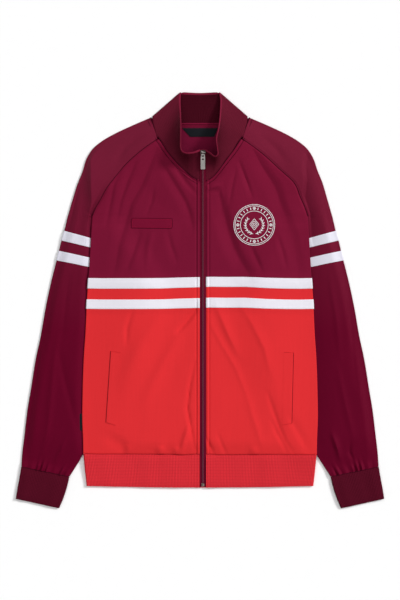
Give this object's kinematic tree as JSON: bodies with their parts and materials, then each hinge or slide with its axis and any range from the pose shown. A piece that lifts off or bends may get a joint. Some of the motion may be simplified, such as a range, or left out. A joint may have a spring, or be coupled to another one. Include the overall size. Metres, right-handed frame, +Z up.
{
  "type": "track jacket",
  "caption": "Zip-up track jacket with raglan sleeves, stand collar, striped chest and ribbed cuffs and hem, laid flat on its back",
  "frame": {"origin": "on the surface it lies on, under the middle of its bounding box", "axes": "+X to the right of the view from above (the wearer's left arm), +Y to the collar, +Z up from the surface"},
  "size_m": [0.7012, 0.7922, 0.0473],
  "materials": {
    "cloth_maroon": "smooth tricot with a soft sheen",
    "cloth_red": "smooth tricot with a soft sheen",
    "stripe_white": "woven tape",
    "rib_maroon": "fine rib knit, matt",
    "rib_red": "fine rib knit, matt",
    "zip_cloth": "woven zip tape",
    "zip_teeth": "moulded teeth",
    "metal": "satin nickel plate",
    "label_dark": "woven satin label"
  },
  "bodies": {
    "jacket": {"front_yoke_l": "cloth_maroon", "front_yoke_r": "cloth_maroon", "back_yoke": "cloth_maroon", "sleeve_l": "cloth_maroon", "sleeve_r": "cloth_maroon", "neck_tape": "cloth_maroon", "chest_label": "cloth_maroon", "front_lower_l": "cloth_red", "front_lower_r": "cloth_red", "back_lower": "cloth_red", "pocket_welt_l": "cloth_red", "pocket_welt_r": "cloth_red", "stripe_front_upper_l": "stripe_white", "stripe_front_lower_l": "stripe_white", "stripe_front_upper_r": "stripe_white", "stripe_front_lower_r": "stripe_white", "stripe_back_upper": "stripe_white", "stripe_back_lower": "stripe_white", "stripe_sleeve_1_l": "stripe_white", "stripe_sleeve_2_l": "stripe_white", "stripe_sleeve_1_r": "stripe_white", "stripe_sleeve_2_r": "stripe_white", "collar": "rib_maroon", "cuff_l": "rib_maroon", "cuff_r": "rib_maroon", "hem_rib": "rib_red", "zip_tape": "zip_cloth", "zip_chain": "zip_teeth", "zip_box": "metal", "zip_slider": "metal", "neck_label": "label_dark", "side_tag": "label_dark"},
    "pull_tab": {"zip_pull": "metal"}
  },
  "joints": [
    {"name": "pull_tab_swing", "type": "hinge", "parent": "jacket", "child": "pull_tab", "pos_m": [0.0055, 0.27439, 0.03378], "axis": [-1, 0, 0], "range_deg": [0, 160]}
  ]
}
